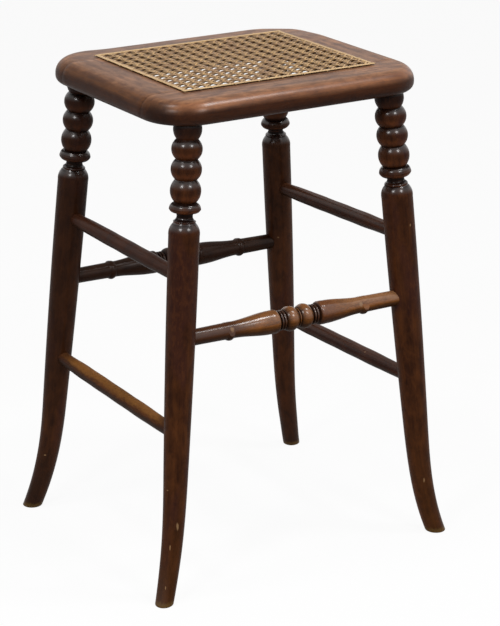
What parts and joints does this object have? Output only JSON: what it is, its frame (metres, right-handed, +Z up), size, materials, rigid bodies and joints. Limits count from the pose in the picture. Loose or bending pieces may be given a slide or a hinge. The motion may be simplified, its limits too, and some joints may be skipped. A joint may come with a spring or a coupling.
{
  "type": "stool",
  "caption": "Tall stool with a round-cornered wooden seat frame, a woven cane panel, turned and splayed legs with outswept feet, turned stretchers and plain side rungs.",
  "frame": {"origin": "on the floor under the middle of the seat", "axes": "+Z up, X along the long side of the seat, the front stretcher towards -Y"},
  "size_m": [0.448, 0.3822, 0.633],
  "materials": {
    "seat_wood": "old polish on mahogany, greyer on the flat top and worn orange-brown on the round edges",
    "leg_wood": "dark red-brown stained mahogany with a soft polish",
    "stretcher_wood": "stained mahogany, worn lighter where feet rest",
    "rung_wood": "stained mahogany, worn on top",
    "dowel_wood": "bare birch",
    "cane": "aged split rattan with a dull natural sheen",
    "binding_cane": "paler split rattan with a natural sheen"
  },
  "bodies": {
    "root": {"seat_rail_front": "seat_wood", "seat_rail_back": "seat_wood", "seat_rail_left": "seat_wood", "seat_rail_right": "seat_wood", "leg_front_left": "leg_wood", "leg_front_right": "leg_wood", "leg_back_left": "leg_wood", "leg_back_right": "leg_wood", "stretcher_front": "stretcher_wood", "stretcher_back": "stretcher_wood", "rung_left_upper": "rung_wood", "rung_left_lower": "rung_wood", "rung_right_upper": "rung_wood", "rung_right_lower": "rung_wood", "dowel_front_left_outer": "dowel_wood", "dowel_front_left_inner": "dowel_wood", "dowel_front_right_outer": "dowel_wood", "dowel_front_right_inner": "dowel_wood", "dowel_back_left_outer": "dowel_wood", "dowel_back_left_inner": "dowel_wood", "dowel_back_right_outer": "dowel_wood", "dowel_back_right_inner": "dowel_wood", "peg_front_left": "dowel_wood", "peg_front_right": "dowel_wood", "peg_back_left": "dowel_wood", "peg_back_right": "dowel_wood", "cane_panel": "cane", "binding_front": "binding_cane", "binding_back": "binding_cane", "binding_left": "binding_cane", "binding_right": "binding_cane"}
  },
  "joints": []
}
